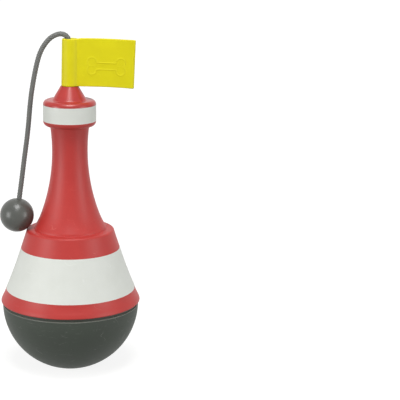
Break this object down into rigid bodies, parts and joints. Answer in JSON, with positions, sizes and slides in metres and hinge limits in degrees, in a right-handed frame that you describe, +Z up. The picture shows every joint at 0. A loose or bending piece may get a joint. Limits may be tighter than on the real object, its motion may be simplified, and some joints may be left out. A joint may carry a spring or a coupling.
{
  "type": "floating treat toy",
  "caption": "Buoy-shaped floating dog toy whose weighted bowl unscrews from a red and white top to hold treats, with a flag on its mast and a ball on a cord.",
  "frame": {"origin": "centre of the flat foot under the bowl, on the surface that the toy stands on", "axes": "+Z up along the mast, +X towards the flag, -X towards the ball on its cord; the flag's face looks towards -Y"},
  "size_m": [0.1101, 0.11, 0.2688],
  "materials": {
    "bowl_rubber": "satin moulded thermoplastic rubber",
    "ball_rubber": "satin moulded thermoplastic rubber",
    "red_rubber": "satin moulded thermoplastic rubber",
    "white_rubber": "satin moulded thermoplastic rubber",
    "yellow_rubber": "satin moulded thermoplastic rubber",
    "seal_rubber": "matt silicone",
    "liner_plastic": "moulded polypropylene",
    "core_plastic": "extruded polypropylene",
    "float_foam": "closed-cell foam",
    "ballast_steel": "zinc-plated steel",
    "cord_braid": "braided polyester"
  },
  "bodies": {
    "bowl": {"bowl_skin": "bowl_rubber", "bowl_liner": "liner_plastic", "ballast_disc": "ballast_steel"},
    "seal": {"seal_ring": "seal_rubber"},
    "top": {"upper_liner": "liner_plastic", "lower_ring": "red_rubber", "wide_band": "white_rubber", "neck_skin": "red_rubber", "float_core": "float_foam", "neck_tube": "core_plastic", "collar_band": "white_rubber", "collar_cap": "red_rubber", "mast_tube": "core_plastic", "anchor_washer": "core_plastic", "anchor_knot": "cord_braid", "cord_in_mast": "cord_braid"},
    "flag": {"flag": "yellow_rubber"},
    "cord_root": {"cord_bend": "cord_braid"},
    "tether": {"cord_fall": "cord_braid", "ball": "ball_rubber", "ball_knot": "cord_braid"}
  },
  "joints": [
    {"name": "top_lift", "type": "slide", "parent": "bowl", "child": "seal", "axis": [0, 0, 1], "range_m": [0, 0.0241]},
    {"name": "top_turn", "type": "hinge", "parent": "seal", "child": "top", "pos_m": [0, 0, 0.05216], "axis": [0, 0, 1], "range_deg": [0, 720]},
    {"name": "flag_turn", "type": "hinge", "parent": "top", "child": "flag", "pos_m": [0, 0, 0.24216], "axis": [0, 0, 1], "range_deg": [-90, 90]},
    {"name": "cord_turn", "type": "hinge", "parent": "top", "child": "cord_root", "pos_m": [0, 0, 0.25896], "axis": [0, 0, 1], "range_deg": [-60, 60]},
    {"name": "cord_swing", "type": "hinge", "parent": "cord_root", "child": "tether", "pos_m": [-0.00961, 0, 0.26573], "axis": [0, 1, 0], "range_deg": [0, 75], "deforming": ["cord_fall"]}
  ],
  "couplings": [
    {"joint": "top_lift", "follows": "top_turn", "m_per_rad": 0.0019099}
  ]
}
